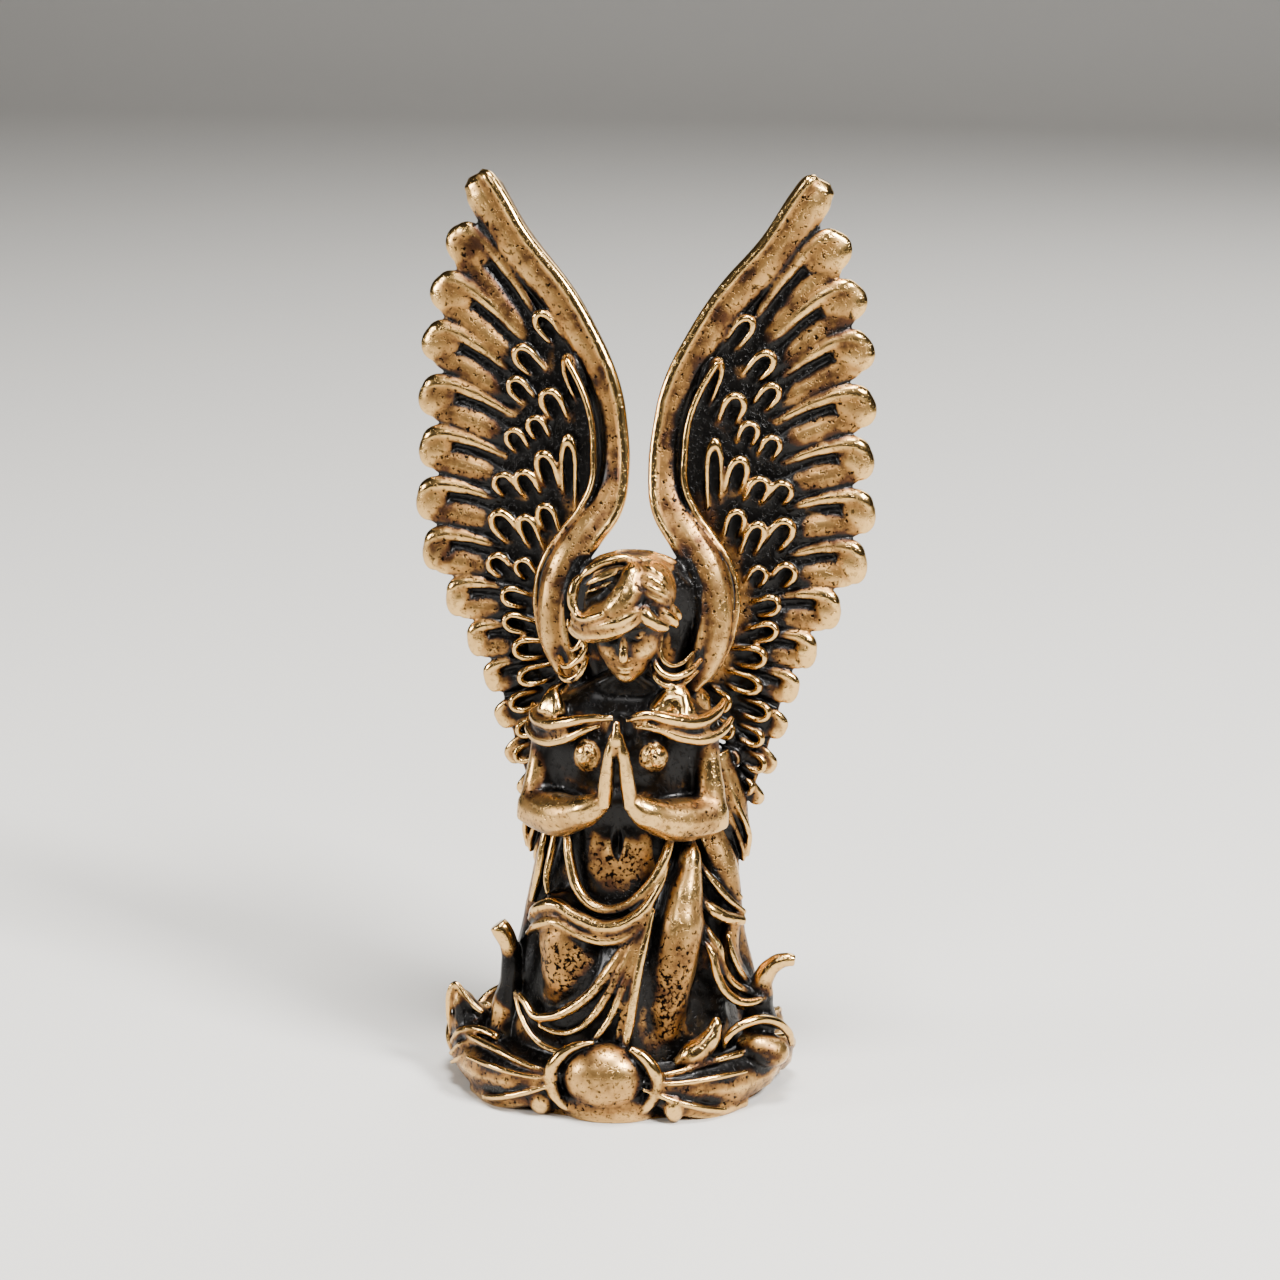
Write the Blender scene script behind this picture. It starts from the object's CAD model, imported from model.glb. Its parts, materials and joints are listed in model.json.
# %% [markdown]
# Praying angel, a small solid-brass casting
#
# The figurine is one piece of brass, about as tall as a little finger is
# long. It was carved in wax, cast by burning the wax out, blackened all over
# and then polished, so that the high places shine and the recesses stay
# black. This lesson models it the same way: soft rolls and balls are laid on
# each other, fused into one skin like wax under a warm tool, and given a
# metal whose polish follows the relief.

import json
import math

import bpy
import numpy as np
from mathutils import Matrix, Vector
from mathutils.bvhtree import BVHTree

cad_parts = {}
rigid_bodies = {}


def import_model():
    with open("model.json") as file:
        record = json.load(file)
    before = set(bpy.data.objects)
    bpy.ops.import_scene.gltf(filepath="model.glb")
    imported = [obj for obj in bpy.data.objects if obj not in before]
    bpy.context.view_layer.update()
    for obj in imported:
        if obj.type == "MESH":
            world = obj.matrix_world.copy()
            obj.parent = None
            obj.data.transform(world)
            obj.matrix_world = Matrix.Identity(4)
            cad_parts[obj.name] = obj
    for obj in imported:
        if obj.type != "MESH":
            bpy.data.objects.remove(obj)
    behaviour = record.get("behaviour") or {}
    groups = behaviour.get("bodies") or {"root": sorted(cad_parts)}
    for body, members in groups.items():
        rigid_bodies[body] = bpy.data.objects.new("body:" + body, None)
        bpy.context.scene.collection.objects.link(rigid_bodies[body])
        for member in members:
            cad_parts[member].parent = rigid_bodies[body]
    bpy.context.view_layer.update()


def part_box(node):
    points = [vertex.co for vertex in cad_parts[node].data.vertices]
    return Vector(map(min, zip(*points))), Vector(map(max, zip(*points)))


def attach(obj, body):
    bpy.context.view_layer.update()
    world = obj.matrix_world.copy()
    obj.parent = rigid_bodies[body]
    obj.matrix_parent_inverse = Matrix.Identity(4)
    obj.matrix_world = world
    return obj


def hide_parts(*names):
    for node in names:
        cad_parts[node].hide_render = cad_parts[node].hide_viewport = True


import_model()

# %% [markdown]
# The carving is drawn at one Blender unit to the millimetre, on a grid 52
# squares tall, because modelling tools are easier to use at that size than
# at a few hundredths of a metre. The finished casting is then brought to the
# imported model's height in one step. Front is -Y and the ground is at zero.

# %% Sizes of the drawing, in millimetres
DRAWN_HEIGHT = 52.0
WAX_CELL, FACE_CELL, SKIN_CELL = 0.22, 0.1, 0.088
TRIANGLES = 190000
packed_low, packed_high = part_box("praying_angel")
metres_per_unit = (packed_high.z - packed_low.z) / DRAWN_HEIGHT
print("one unit of the drawing is", round(metres_per_unit * 1000, 4), "mm")

# %% [markdown]
# Wax is worked with few tools, and so is this model. A roll is a curve with
# a round bevel that swells and narrows along its way. A ball is a pressed
# sphere. A trunk is a circle drawn up through level ovals. Each is closed,
# so that any of them can overlap and be fused later.

# %% Tools for the wax
def pick(piece):
    """Selects one piece and nothing else."""
    bpy.ops.object.select_all(action="DESELECT")
    piece.select_set(True)
    bpy.context.view_layer.objects.active = piece


def settle(piece):
    """Applies a piece's place, turn and size to its mesh."""
    pick(piece)
    bpy.ops.object.transform_apply(location=True, rotation=True, scale=True)
    return piece


def change(piece, kind, **settings):
    """Gives a piece one modifier with its settings, and applies it to the mesh."""
    pick(piece)
    bpy.ops.object.modifier_add(type=kind)
    modifier = piece.modifiers[-1]
    for key, value in settings.items():
        setattr(modifier, key, value)
    bpy.ops.object.modifier_apply(modifier=modifier.name)


def rolls(name, paths, depth=1.0):
    """Rolls along smooth curves, whose points are (x, y, z, radius). Depth is thickness over width."""
    bpy.ops.object.select_all(action="DESELECT")
    bpy.ops.curve.primitive_bezier_curve_add()
    wire = bpy.context.object.data
    wire.splines.clear()
    for path in paths:
        line = wire.splines.new("BEZIER")
        line.bezier_points.add(len(path) - 1)
        line.radius_interpolation = "EASE"
        for knot, (x, y, z, radius) in zip(line.bezier_points, path):
            knot.co = (x, y / depth, z)
            knot.radius = radius
        for knot in line.bezier_points:
            knot.handle_left_type = "AUTO"
            knot.handle_right_type = "AUTO"
    wire.resolution_u = 7
    wire.bevel_depth = 1.0
    wire.bevel_resolution = 3
    wire.use_fill_caps = True
    bpy.ops.object.convert(target="MESH")
    piece = bpy.context.object
    piece.name = name
    piece.scale.y = depth
    return settle(piece)


def ball(name, place, radii, turn=(0, 0, 0)):
    """A ball pressed to three radii and turned, in degrees."""
    bpy.ops.object.select_all(action="DESELECT")
    bpy.ops.mesh.primitive_uv_sphere_add(segments=32, ring_count=20, radius=1, location=place)
    piece = bpy.context.object
    piece.name = name
    piece.scale = radii
    piece.rotation_euler = [math.radians(a) for a in turn]
    return settle(piece)


def trunk(name, sections):
    """A solid drawn up through level ovals, each (z, centre x, centre y, half width, half depth)."""
    z, x, y, wide, deep = sections[0]
    bpy.ops.object.select_all(action="DESELECT")
    bpy.ops.mesh.primitive_circle_add(vertices=48, radius=1, fill_type="NGON", location=(x, y, z))
    piece = bpy.context.object
    piece.name = name
    piece.scale = (wide, deep, 1)
    settle(piece)
    bpy.ops.object.mode_set(mode="EDIT")
    bpy.ops.mesh.select_all(action="SELECT")
    for below, above in zip(sections, sections[1:]):
        step = (above[1] - below[1], above[2] - below[2], above[0] - below[0])
        bpy.ops.mesh.extrude_region_move(TRANSFORM_OT_translate={"value": step})
        bpy.ops.transform.resize(value=(above[3] / below[3], above[4] / below[4], 1),
                                 center_override=(above[1], above[2], above[0]))
    bpy.ops.mesh.select_all(action="SELECT")
    bpy.ops.mesh.normals_make_consistent(inside=False)
    bpy.ops.object.mode_set(mode="OBJECT")
    return piece


def join(name, pieces):
    """Joins pieces into one object without fusing them."""
    bpy.ops.object.select_all(action="DESELECT")
    for piece in pieces:
        piece.select_set(True)
    bpy.context.view_layer.objects.active = pieces[0]
    bpy.ops.object.join()
    pieces[0].name = name
    return pieces[0]


def fuse(name, pieces, cell, passes):
    """Melts pieces into one skin of cells of the given size, and smooths it."""
    piece = join(name, pieces)
    change(piece, "REMESH", mode="VOXEL", voxel_size=cell)
    change(piece, "SMOOTH", factor=0.5, iterations=passes)
    print(name, "has", len(piece.data.polygons), "faces")
    return piece


def push(piece, spot, reach, move):
    """Moves the wax near a spot, fully at the spot and less and less out to the reach, as a thumb does."""
    mesh = piece.data
    places = np.empty(len(mesh.vertices) * 3, np.float32)
    mesh.vertices.foreach_get("co", places)
    places = places.reshape(-1, 3)
    far = np.linalg.norm((places - np.array(spot)) / np.array(reach), axis=1)
    share = np.clip(1 - far, 0, 1)
    share = share * share * (3 - 2 * share)
    places += share[:, None] * np.array(move)
    mesh.vertices.foreach_set("co", places.ravel())
    mesh.update()


# %% [markdown]
# The wings
#
# Each wing is a flat plate with a thick rounded band along its inner edge,
# long paddle-shaped feathers along its outer edge and small looped feathers
# between. It is easiest to lay a wing out flat, as on a bench, facing the
# carver. One long feather and one looped feather are carved with care, and
# every other one is a copy, stretched and turned to its place.

# %% One long feather and one looped feather
FEATHER_LENGTH = 5.0
LOOP_LENGTH = 2.5


def long_feather():
    """A paddle: a thick bead along the leading edge, a full pad at the tip and a lower, rougher web."""
    bead = rolls("bead", [[(-0.6, 0.1, 0.6, 0.16), (1.0, -0.02, 0.86, 0.28), (2.4, -0.1, 0.96, 0.42),
                           (3.5, -0.14, 0.86, 0.52), (4.25, -0.12, 0.5, 0.54), (4.4, -0.08, -0.05, 0.46),
                           (4.15, -0.02, -0.65, 0.42), (3.6, 0.05, -1.05, 0.34)]], 0.78)
    pad = ball("pad", (3.85, -0.02, -0.05), (1.05, 0.5, 1.32), (0, -18, 0))
    web = rolls("web", [[(-0.8, 0.25, -0.6, 0.5), (0.8, 0.1, -0.68, 0.68), (2.2, 0.06, -0.7, 0.78),
                         (3.3, 0.02, -0.72, 0.76), (3.9, 0.02, -0.6, 0.6)]], 0.5)
    floor = rolls("floor", [[(-0.8, 0.5, 0.1, 0.7), (1.5, 0.46, 0.1, 0.8), (3.6, 0.42, 0.1, 0.8)]], 0.5)
    return join("long_feather", [bead, pad, web, floor])


def looped_feather():
    """A hairpin of thin bead round a hollow. Its two ends run down into the wing."""
    path = [(-0.3, 0.45, 0.3, 0.1), (0.9, 0.0, 0.42, 0.15), (1.75, -0.14, 0.44, 0.2),
            (2.2, -0.2, 0.22, 0.23), (2.28, -0.2, -0.08, 0.23), (1.95, -0.16, -0.4, 0.2),
            (1.2, -0.05, -0.5, 0.15), (0.1, 0.4, -0.42, 0.08)]
    return rolls("looped_feather", [path], 1.25)


paddle = long_feather()
hairpin = looped_feather()
print("a long feather has", len(paddle.data.vertices), "points and a looped one", len(hairpin.data.vertices))

# %% [markdown]
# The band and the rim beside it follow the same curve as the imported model's.
# The band comes forward on its way down, to end on the shoulder. The long
# feathers run from the roots to the tips of two curves, from the top of the
# wing to its foot. Each small loop has its own tip, root and width.

# %% Lines of the wing, as (x, z) seen from the front
BAND_LINE = [(9.85, 51.4), (9.65, 51.0), (9.25, 50.3), (7.5, 47.6), (5.0, 44.8), (3.3, 42.2), (2.15, 39.9),
             (1.6, 37.6), (1.45, 35.2), (1.75, 33.4), (2.9, 31.7), (4.0, 30.0), (4.5, 28.0), (4.45, 26.2),
             (3.95, 24.6), (3.2, 23.3)]
BAND_FORWARD = [0.0, 0.0, 0.0, 0.0, 0.0, 0.0, 0.1, 0.2, 0.5, 0.9, 1.5, 1.9, 2.1, 2.2, 2.2, 2.2]
BAND_HALF = [0.55, 1.0, 1.2, 1.18, 1.06, 0.98, 0.9, 0.84, 0.86, 0.95, 1.02, 1.04, 1.04, 1.0, 0.86, 0.55]
RIM_LINE = [(4.3, 41.4), (3.3, 39.6), (2.75, 37.9), (2.6, 36.2), (2.65, 34.6), (3.25, 33.2), (4.4, 31.6),
            (5.3, 30.2), (5.75, 28.4), (5.6, 26.6), (5.1, 25.1), (4.2, 23.6)]
LONG_TIPS = [(11.1, 48.6), (12.2, 45.6), (12.8, 42.6), (13.1, 39.3), (13.1, 36.2), (13.3, 33.1), (12.9, 30.2),
             (11.5, 27.4), (10.2, 24.9), (9.2, 22.6), (8.5, 20.2), (7.9, 17.9), (7.2, 15.9)]
LONG_ROOTS = [(6.9, 43.4), (7.5, 41.8), (8.2, 39.9), (8.2, 37.5), (8.6, 35.1), (8.9, 32.5), (8.9, 29.8),
              (7.9, 27.4), (7.2, 25.3), (6.5, 23.4), (6.0, 21.6), (5.5, 19.8), (4.9, 18.2)]
LOOPS = [(6.2, 43.9, 4.7, 42.0, 1.0), (7.4, 41.9, 5.8, 40.2, 1.1), (4.4, 41.6, 3.3, 38.6, 0.9),
         (7.7, 40.1, 6.4, 38.6, 1.0), (5.6, 39.6, 4.6, 37.6, 1.15), (6.4, 38.0, 5.6, 36.5, 1.0),
         (7.7, 37.2, 6.8, 35.8, 1.0), (4.2, 37.1, 4.1, 32.9, 0.85), (5.8, 36.1, 5.0, 33.6, 1.05),
         (7.1, 34.9, 6.1, 33.2, 1.1), (8.4, 34.6, 7.4, 33.3, 1.1), (8.6, 32.5, 7.1, 30.6, 1.2),
         (6.9, 32.4, 5.9, 30.2, 0.95), (5.7, 33.1, 5.0, 31.2, 1.0), (8.8, 29.9, 7.5, 28.7, 1.1),
         (7.1, 29.8, 6.2, 28.6, 0.95), (8.1, 27.8, 6.3, 27.3, 1.0), (8.0, 26.3, 6.0, 25.8, 0.95),
         (7.4, 24.6, 5.2, 24.7, 1.1), (7.1, 22.8, 4.8, 23.5, 1.0), (7.6, 21.2, 5.6, 21.9, 1.0),
         (5.3, 21.6, 3.9, 22.6, 0.95), (7.2, 19.6, 5.5, 20.4, 0.9), (5.5, 20.0, 4.2, 20.8, 0.9),
         (5.8, 18.3, 4.4, 19.2, 0.9), (7.3, 18.0, 5.8, 19.0, 0.9), (6.6, 16.6, 5.2, 17.7, 0.85)]
PLATE_HALF = 0.5
PLATE_REACH = 0.7
EDGE_OUT, EDGE_FORWARD, EDGE_RADIUS, EDGE_MOST = 0.64, 0.38, 0.45, 0.4
RIM_FORWARD, RIM_RADIUS = (0.75, 2.0), 0.2
LONG_FORWARD, LOOP_FORWARD = 0.1, 0.25
NARROW_AFTER, NARROWER = 6, 0.1


def at_share(points, share):
    """The place at a share from 0 to 1 along a smooth curve through points."""
    points = np.array(points, float)
    knots = np.vstack([2 * points[0] - points[1], points, 2 * points[-1] - points[-2]])
    place = share * (len(points) - 1)
    i = min(int(place), len(points) - 2)
    t = place - i
    before, start, end, after = knots[i:i + 4]
    return Vector(0.5 * (2 * start + (end - before) * t + (2 * before - 5 * start + 4 * end - after) * t * t
                         + (3 * start - before - 3 * end + after) * t ** 3))


def lay(pattern, length, root, tip, width, forward):
    """A copy of a feather laid on the flat wing from its root to its tip, each (x, z)."""
    run = tip - root
    piece = pattern.copy()
    piece.data = pattern.data.copy()
    bpy.context.collection.objects.link(piece)
    piece.scale = (run.length / length, width, width)
    piece.rotation_euler = (0, -math.atan2(run.y, run.x), 0)
    piece.location = (root.x, -forward, root.y)
    return settle(piece)


# %% [markdown]
# The plate under the feathers is a filled outline given thickness. It is
# drawn from the band to seven tenths of the way along the long feathers, so
# the tips stand free of it and the wing's edge stays scalloped. The band has
# a raised edge of its own on the side of the feathers.

# %% Plate, band, rim and rows of feathers on the flat wing
def plate():
    """The flat plate behind the feathers."""
    steps = 30
    inner = [at_share(BAND_LINE[1:], i / steps) for i in range(steps + 1)]
    outer = [at_share(LONG_ROOTS, i / steps).lerp(at_share(LONG_TIPS, i / steps), PLATE_REACH)
             for i in range(steps + 1)]
    outline = inner + outer[::-1]
    bpy.ops.object.select_all(action="DESELECT")
    bpy.ops.mesh.primitive_circle_add(vertices=len(outline), radius=1)
    piece = bpy.context.object
    piece.name = "plate"
    for vertex, spot in zip(piece.data.vertices, outline):
        vertex.co = (spot.x, PLATE_HALF, spot.y)
    bpy.ops.object.mode_set(mode="EDIT")
    bpy.ops.mesh.select_all(action="SELECT")
    bpy.ops.mesh.edge_face_add()
    bpy.ops.mesh.extrude_region_move(TRANSFORM_OT_translate={"value": (0, -PLATE_HALF, 0)})
    bpy.ops.mesh.select_all(action="SELECT")
    bpy.ops.mesh.normals_make_consistent(inside=False)
    bpy.ops.object.mode_set(mode="OBJECT")
    return piece


def flat_wing():
    """Everything on one wing, laid out flat with its face towards -Y."""
    band = [(x, -f, z, half) for (x, z), f, half in zip(BAND_LINE, BAND_FORWARD, BAND_HALF)]
    edge = []
    for i, (x, y, z, half) in enumerate(band):
        ahead, behind = band[min(i + 1, len(band) - 1)], band[max(i - 1, 0)]
        run = Vector((ahead[0] - behind[0], ahead[2] - behind[2])).normalized()
        out, radius = half * EDGE_OUT, min(EDGE_MOST, half * EDGE_RADIUS)
        edge.append((x + run.y * out, y - half * EDGE_FORWARD, z - run.x * out, radius))
    forward = np.linspace(*RIM_FORWARD, len(RIM_LINE) + 1)
    rim = [(x, -f, z, RIM_RADIUS) for (x, z), f in zip(RIM_LINE, forward)]
    pieces = [plate(), rolls("band", [band], 0.7), rolls("band_edge", [edge]), rolls("rim", [rim], 1.6)]
    for i, (tip, root) in enumerate(zip(LONG_TIPS, LONG_ROOTS)):
        width = 1.0 - NARROWER * max(0, i - NARROW_AFTER)
        pieces.append(lay(paddle, FEATHER_LENGTH, Vector(root), Vector(tip), width, LONG_FORWARD))
    for *tip_and_root, width in LOOPS:
        tip, root = Vector(tip_and_root[:2]), Vector(tip_and_root[2:])
        pieces.append(lay(hairpin, LOOP_LENGTH, root, tip, width, LOOP_FORWARD))
    return join("wing", pieces)


print("a wing has", len(LONG_TIPS), "long feathers and", len(LOOPS), "looped ones")
wing = flat_wing()
print("one flat wing has", len(wing.data.polygons), "faces")

# %% [markdown]
# The back of a wing is seldom seen and is finished in keeping, with the same
# long feathers, which are as thick behind as in front, and with two plain
# rows of loops. How far a loop leans depends on how high up the wing it is.

# %% The back of the wing
LOOP_LEAN = [(15.0, -48), (19.0, -28), (23.0, -14), (26.5, 6), (29.0, 42), (34.0, 56), (40.0, 54), (44.0, 48)]
LEAN_HEIGHTS, LEAN_DEGREES = zip(*LOOP_LEAN)
BACK_ROWS = [([(8.6, 43.0), (10.0, 38.6), (10.4, 34.0), (9.4, 29.0), (7.6, 24.0)], 9),
             ([(5.4, 42.0), (7.0, 38.0), (7.6, 34.0), (7.0, 29.6), (5.6, 25.0)], 8)]
BACK_LOOP_LONG, BACK_LOOP_WIDTH, BACK_LOOP_INNER_END = 3.4, 1.25, 3.5
BACK_LOOP_OUT, BACK_LOOP_DEPTH = 0.12, 0.55
behind = []
for tips, count in BACK_ROWS:
    for i in range(count):
        tip = at_share(tips, i / (count - 1))
        lean = math.radians(np.interp(tip.y, LEAN_HEIGHTS, LEAN_DEGREES))
        along = Vector((math.cos(lean), math.sin(lean)))
        root = tip - min(BACK_LOOP_LONG, (tip.x - BACK_LOOP_INNER_END) / along.x) * along
        loop = lay(hairpin, LOOP_LENGTH, root, tip, BACK_LOOP_WIDTH, 0.0)
        for vertex in loop.data.vertices:
            vertex.co.y = PLATE_HALF + BACK_LOOP_OUT - BACK_LOOP_DEPTH * vertex.co.y
        behind.append(loop)
wing = join("wing", [wing] + behind)
print("with its back the wing has", len(wing.data.polygons), "faces")

# %% [markdown]
# The flat wing is now leaned: each point goes back with its distance from
# the middle and with its height, which opens the wings like a shallow V seen
# from above. The last feathers trail down beside the robe. Then the wing is
# copied and mirrored for the other side.

# %% Lean the wing back and mirror it
WING_FRONT, WING_SWEEP, WING_RAKE, RAKE_FROM = 1.6, 0.12, 0.10, 25.0
for vertex in wing.data.vertices:
    x, z = vertex.co.x, vertex.co.z
    vertex.co.y += WING_FRONT + WING_SWEEP * x + WING_RAKE * max(0.0, z - RAKE_FROM)
TRAILS = [[(5.0, 1.0, 18.0, 0.15), (6.0, 0.9, 15.9, 0.19), (6.5, 1.0, 14.4, 0.2), (6.4, 1.1, 13.1, 0.16)],
          [(4.5, 0.7, 17.6, 0.15), (5.6, 0.7, 15.1, 0.19), (6.1, 0.8, 13.8, 0.19), (6.2, 1.0, 12.8, 0.14)],
          [(4.2, 0.5, 16.8, 0.15), (5.2, 0.5, 14.4, 0.19), (5.8, 0.6, 12.9, 0.19), (5.8, 0.8, 12.1, 0.14)],
          [(4.1, 0.3, 15.9, 0.14), (4.8, 0.3, 13.8, 0.18), (5.4, 0.4, 12.4, 0.18), (5.6, 0.6, 11.4, 0.14)],
          [(3.4, 1.2, 18.6, 0.9), (4.5, 1.1, 15.8, 1.0), (5.2, 1.2, 13.4, 0.75), (5.6, 1.3, 12.0, 0.4)],
          [(4.4, 1.8, 19.0, 0.9), (5.3, 1.7, 16.4, 0.95), (5.9, 1.7, 14.4, 0.65), (6.2, 1.7, 13.2, 0.3)]]
wing = join("wing", [wing, rolls("trailing_feathers", TRAILS, 1.1)])
pick(wing)
bpy.ops.object.duplicate()
other_wing = bpy.context.object
bpy.ops.transform.resize(value=(-1, 1, 1), center_override=(0, 0, 0))
settle(other_wing)
bpy.ops.object.mode_set(mode="EDIT")
bpy.ops.mesh.select_all(action="SELECT")
bpy.ops.mesh.flip_normals()
bpy.ops.object.mode_set(mode="OBJECT")
print("two wings span", round(2 * max(v.co.x for v in wing.data.vertices), 2), "mm")

# %% [markdown]
# The body
#
# Under the carving there is a simple figure: a trunk, two bent arms, a raised
# knee, a robe that widens to the base and a mantle behind it. These masses
# are fused in large cells and smoothed well, so one flows into the next as
# flesh and heavy cloth do. The crisp lines go on top afterwards.

# %% The masses of the body and the robe
TORSO = [(24.6, 0.1, -1.7, 1.2, 1.2), (23.5, 0.0, -1.3, 2.8, 1.5), (22.6, -0.3, -1.3, 4.3, 1.8),
         (21.0, -0.3, -1.6, 4.4, 2.2), (19.5, -0.4, -1.6, 4.4, 2.4), (17.5, -0.4, -1.6, 4.2, 2.2),
         (15.5, -0.4, -1.5, 3.0, 2.2), (13.5, -0.3, -1.3, 3.9, 2.7), (11.5, -0.2, -1.0, 4.9, 3.2)]
ROBE = [(13.0, -0.2, -0.9, 4.2, 2.9), (11.0, -0.2, -0.7, 5.1, 3.8), (8.5, -0.2, -0.5, 5.6, 4.6),
        (6.0, -0.3, -0.4, 6.1, 5.4), (4.0, -0.5, -0.2, 6.9, 6.1), (1.0, -0.7, 0.0, 7.6, 6.6)]
MANTLE = [(24.2, 0.0, 0.6, 2.6, 1.6), (22.5, -0.1, 1.0, 4.4, 1.7), (19.5, -0.2, 1.1, 4.7, 1.8),
          (16.0, -0.2, 1.1, 4.7, 1.9), (12.5, -0.2, 1.2, 4.8, 2.2), (9.0, -0.2, 1.5, 5.2, 2.9),
          (5.0, -0.4, 1.7, 6.0, 4.0), (1.0, -0.6, 1.8, 6.8, 4.8)]
SHOULDERS = [
    [(-4.1, -2.2, 23.7, 0.2), (-4.5, -2.6, 22.9, 0.4), (-4.7, -2.8, 22.1, 0.5)],
    [(-4.1, -2.2, 23.7, 0.2), (-3.95, -2.9, 22.9, 0.4), (-3.85, -3.2, 22.1, 0.5)],
    [(3.0, -2.3, 24.2, 0.25), (2.3, -3.0, 23.3, 0.55), (1.65, -3.5, 22.5, 0.65)],
    [(3.0, -2.3, 24.2, 0.25), (3.15, -2.9, 23.3, 0.6), (3.4, -3.2, 22.3, 0.7)],
]
LEGS_AND_SIDES = [
    [(-3.3, -2.6, 11.4, 1.6), (-2.95, -3.9, 9.2, 1.95), (-3.0, -4.3, 7.7, 1.7), (-3.5, -4.2, 5.9, 1.1)],
    [(3.5, -2.5, 15.5, 0.3), (3.65, -3.2, 13.9, 0.75), (3.35, -3.9, 11.8, 1.2), (3.25, -4.3, 10.5, 1.45),
     (2.85, -4.7, 8.2, 1.45), (2.65, -4.9, 6.4, 1.22), (2.55, -5.1, 4.2, 0.8)],
    [(0.7, -4.5, 10.3, 1.1), (-0.8, -4.9, 7.0, 1.3), (-2.8, -5.0, 4.8, 1.1), (-5.2, -4.0, 4.4, 0.8)],
    [(1.3, -4.4, 10.4, 0.9), (0.8, -5.0, 7.0, 1.2), (0.4, -5.4, 3.4, 1.2)],
    [(4.1, -0.6, 16.8, 0.3), (4.2, -0.5, 15.4, 0.95), (4.9, -0.6, 12.6, 1.3), (5.2, -0.9, 9.6, 1.35),
     (5.8, -1.2, 6.0, 1.6)],
    [(-3.9, -0.7, 16.8, 0.3), (-3.9, -0.6, 15.4, 1.05), (-4.4, -0.8, 12.5, 1.35), (-4.9, -0.8, 9.5, 1.45),
     (-5.4, -1.2, 6.0, 1.7)],
]
masses = [trunk("torso", TORSO), trunk("robe", ROBE), trunk("mantle", MANTLE),
          ball("belly", (-0.35, -2.1, 14.6), (2.75, 1.95, 2.7)),
          ball("left_breast", (-2.1, -3.15, 20.1), (0.85, 1.1, 1.0)),
          ball("right_breast", (1.7, -3.15, 20.1), (0.85, 1.1, 1.0)),
          rolls("shoulders", SHOULDERS),
          ball("knee", (-2.6, -4.4, 7.9), (2.1, 1.55, 2.2)),
          rolls("neck", [[(0.1, -1.2, 23.0, 1.3), (0.1, -2.0, 25.4, 1.15)]]),
          rolls("legs_and_sides", LEGS_AND_SIDES)]
for side, shift in ((-1, 0.5), (1, -0.1)):
    elbow = side * 4.75 - shift
    masses.append(rolls("arm", [
        [(side * 4.3 - 0.3, -1.5, 22.3, 0.95), (side * 4.5 - shift * 0.9, -2.2, 19.6, 0.72),
         (elbow, -2.7, 17.2, 0.85)],
        [(elbow, -2.7, 16.6, 1.22), (side * 3.4 - 0.3, -4.2, 16.7, 1.3),
         (side * 1.8 - 0.15, -5.6, 17.4, 0.98), (side * 0.7, -6.2, 18.2, 0.62)],
        [(elbow + side * 0.5, -2.9, 17.2, 0.52), (elbow + side * 0.52, -3.1, 15.9, 0.55)],
    ]))
body = fuse("body", masses, WAX_CELL, passes=5)

# %% [markdown]
# Thumb marks give the belly its hollow line, sink the breast between the
# arms and set back the throat. Each push moves the wax near one spot and
# fades out round it.

# %% Hollows pressed into the body
push(body, (-0.35, -4.1, 15.1), (0.34, 1.3, 1.2), (0, 0.8, 0))
push(body, (-0.2, -3.6, 18.6), (2.6, 1.6, 1.4), (0, 0.7, 0))
push(body, (0.0, -3.0, 23.2), (3.4, 2.2, 1.3), (0, 0.55, 0))
push(body, (-0.2, -4.0, 21.6), (1.0, 1.6, 1.6), (0, 0.6, 0))
print("the body stands", round(max(v.co.z for v in body.data.vertices), 2), "mm tall to the neck")

# %% [markdown]
# The head
#
# The face is a calm, general one, set out by the rules that drawing books
# give: eyes halfway up the head, the nose's foot halfway between the eyes
# and the chin, and the mouth a third of the way below that. It is made
# upright round the origin, where left and right are easy to keep equal, and
# then bowed and moved on to the neck. The eyes are closed.

# %% The face
HEAD_TALL = 6.2
HEAD_HALF = 2.2
HEAD_BOW = 9.0
HEAD_PLACE = (0.1, -2.3, 27.7)
eyes_up = -0.1
nose_up = eyes_up - HEAD_TALL / 4
mouth_up = nose_up - HEAD_TALL / 12
chin_up = eyes_up - HEAD_TALL / 2
skull = ball("skull", (0, 0, 0.75), (HEAD_HALF * 0.98, 2.4, 2.3))
cheeks = ball("cheeks", (0, -0.75, -0.9), (1.8, 1.5, 1.9))
jaw = ball("jaw", (0, -1.05, -1.8), (1.3, 1.15, 1.4))
chin = ball("chin", (0, -1.65, chin_up + 0.5), (0.62, 0.5, 0.5))
head = fuse("head", [skull, cheeks, jaw, chin], FACE_CELL, passes=12)
for side in (-1, 1):
    push(head, (side * 0.8, -2.4, eyes_up - 0.02), (0.85, 0.9, 0.62), (0, 0.42, 0))
    push(head, (side * 1.0, -2.0, nose_up + 0.35), (0.8, 0.8, 0.7), (0, -0.12, 0))
features = [
    rolls("nose", [[(0, -2.02, 0.35, 0.2), (0, -2.28, -0.5, 0.2), (0, -2.56, nose_up + 0.3, 0.27)]], 0.9),
    ball("nose_tip", (0, -2.5, nose_up + 0.16), (0.24, 0.22, 0.2)),
    ball("upper_lip", (0, -2.12, mouth_up + 0.1), (0.44, 0.2, 0.12)),
    ball("lower_lip", (0, -2.1, mouth_up - 0.16), (0.36, 0.2, 0.14)),
]
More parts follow.
